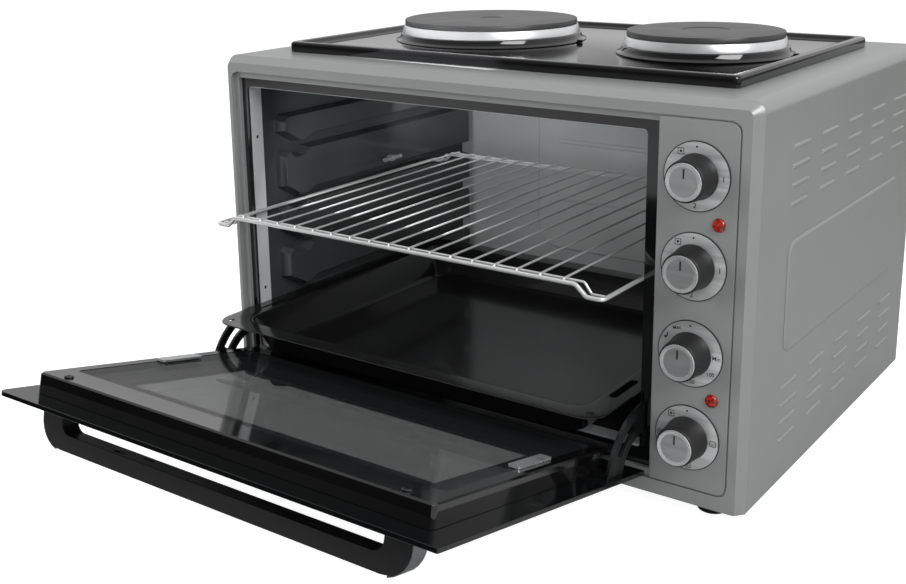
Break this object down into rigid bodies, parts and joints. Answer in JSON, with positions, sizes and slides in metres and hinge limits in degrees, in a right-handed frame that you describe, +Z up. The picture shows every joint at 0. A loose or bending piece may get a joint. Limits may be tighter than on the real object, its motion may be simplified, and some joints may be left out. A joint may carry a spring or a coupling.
{
  "type": "electric oven with hob",
  "caption": "Table-top electric oven with a drop-down glass door, wire rack and baking tray inside, rotary controls at the right and round hotplates on top.",
  "frame": {"origin": "middle of the whole object's bounding box, with the door open, at the underside of the feet", "axes": "+X to the right seen from the front, +Y from the door to the back, +Z up"},
  "size_m": [0.5852, 0.7444, 0.3881],
  "materials": {
    "grey_paint": "satin grey stove enamel",
    "black_enamel": "gloss black enamel",
    "grey_enamel": "gloss dark grey enamel",
    "black_plastic": "fine matt moulding",
    "cast_iron": "black heat-proof coating",
    "steel_trim": "brushed",
    "chrome_wire": "bright plated",
    "zinc_steel": "zinc plated",
    "outer_glass": "clear toughened glass",
    "inner_glass": "toughened glass with a printed black border",
    "red_lens": "clear red lens",
    "foot_rubber": "matt",
    "switch_body": "pale heat-proof moulding"
  },
  "bodies": {
    "oven": {"housing_wrapper": "grey_paint", "front_bezel": "grey_paint", "back_panel": "grey_paint", "base_plate": "zinc_steel", "foot_1": "foot_rubber", "foot_2": "foot_rubber", "foot_3": "foot_rubber", "foot_4": "foot_rubber", "cord_gland": "black_plastic", "opening_frame": "black_enamel", "opening_collar": "zinc_steel", "cavity_left_wall": "grey_enamel", "cavity_right_wall": "grey_enamel", "cavity_roof": "grey_enamel", "cavity_floor": "grey_enamel", "cavity_back_wall": "grey_enamel", "thermostat_bulb": "zinc_steel", "lower_element": "zinc_steel", "upper_element": "zinc_steel", "control_panel": "grey_paint", "hob_tray": "black_enamel", "large_hotplate": "cast_iron", "small_hotplate": "cast_iron", "large_plate_trim": "steel_trim", "small_plate_trim": "steel_trim", "large_spill_ring": "black_enamel", "small_spill_ring": "black_enamel", "pilot_lamp_1": "red_lens", "pilot_lamp_2": "red_lens", "dial_plate_1": "steel_trim", "rotary_switch_1": "switch_body", "dial_plate_2": "steel_trim", "rotary_switch_2": "switch_body", "dial_plate_3": "steel_trim", "rotary_switch_3": "switch_body", "dial_plate_4": "steel_trim", "rotary_switch_4": "switch_body"},
    "door": {"door_outer_glass": "outer_glass", "door_frame": "black_enamel", "door_inner_glass": "inner_glass", "door_handle": "black_plastic", "door_clip_left": "zinc_steel", "door_clip_right": "zinc_steel", "door_screw_left": "zinc_steel", "door_screw_right": "zinc_steel", "handle_end_left": "steel_trim", "handle_end_right": "steel_trim", "hinge_arm_left": "zinc_steel", "hinge_arm_right": "zinc_steel"},
    "rack": {"wire_rack": "chrome_wire"},
    "tray": {"baking_tray": "black_enamel"},
    "knob_body_1": {"knob_1": "black_plastic", "knob_cap_1": "steel_trim"},
    "knob_body_2": {"knob_2": "black_plastic", "knob_cap_2": "steel_trim"},
    "knob_body_3": {"knob_3": "black_plastic", "knob_cap_3": "steel_trim"},
    "knob_body_4": {"knob_4": "black_plastic", "knob_cap_4": "steel_trim"}
  },
  "joints": [
    {"name": "door_hinge", "type": "hinge", "parent": "oven", "child": "door", "pos_m": [-0.0378, -0.06577, 0.0293], "axis": [-1, 0, 0], "range_deg": [0, 77.3]},
    {"name": "rack_slide", "type": "slide", "parent": "oven", "child": "rack", "axis": [0, 1, 0], "range_m": [0, 0.08]},
    {"name": "tray_slide", "type": "slide", "parent": "oven", "child": "tray", "axis": [0, 1, 0], "range_m": [0, 0.09]},
    {"name": "large_plate_knob", "type": "hinge", "parent": "oven", "child": "knob_body_1", "pos_m": [0.2387, -0.07977, 0.29709], "axis": [0, 1, 0], "range_deg": [0, 300]},
    {"name": "small_plate_knob", "type": "hinge", "parent": "oven", "child": "knob_body_2", "pos_m": [0.2387, -0.07977, 0.22216], "axis": [0, 1, 0], "range_deg": [0, 300]},
    {"name": "thermostat_knob", "type": "hinge", "parent": "oven", "child": "knob_body_3", "pos_m": [0.2387, -0.07977, 0.14723], "axis": [0, 1, 0], "range_deg": [0, 290]},
    {"name": "function_knob", "type": "hinge", "parent": "oven", "child": "knob_body_4", "pos_m": [0.2387, -0.07977, 0.0723], "axis": [0, 1, 0], "range_deg": [0, 300]}
  ],
  "couplings": [
    {"joint": "rack_slide", "follows": "door_hinge", "m_per_rad": 0.0578},
    {"joint": "tray_slide", "follows": "door_hinge", "m_per_rad": 0.0652}
  ]
}
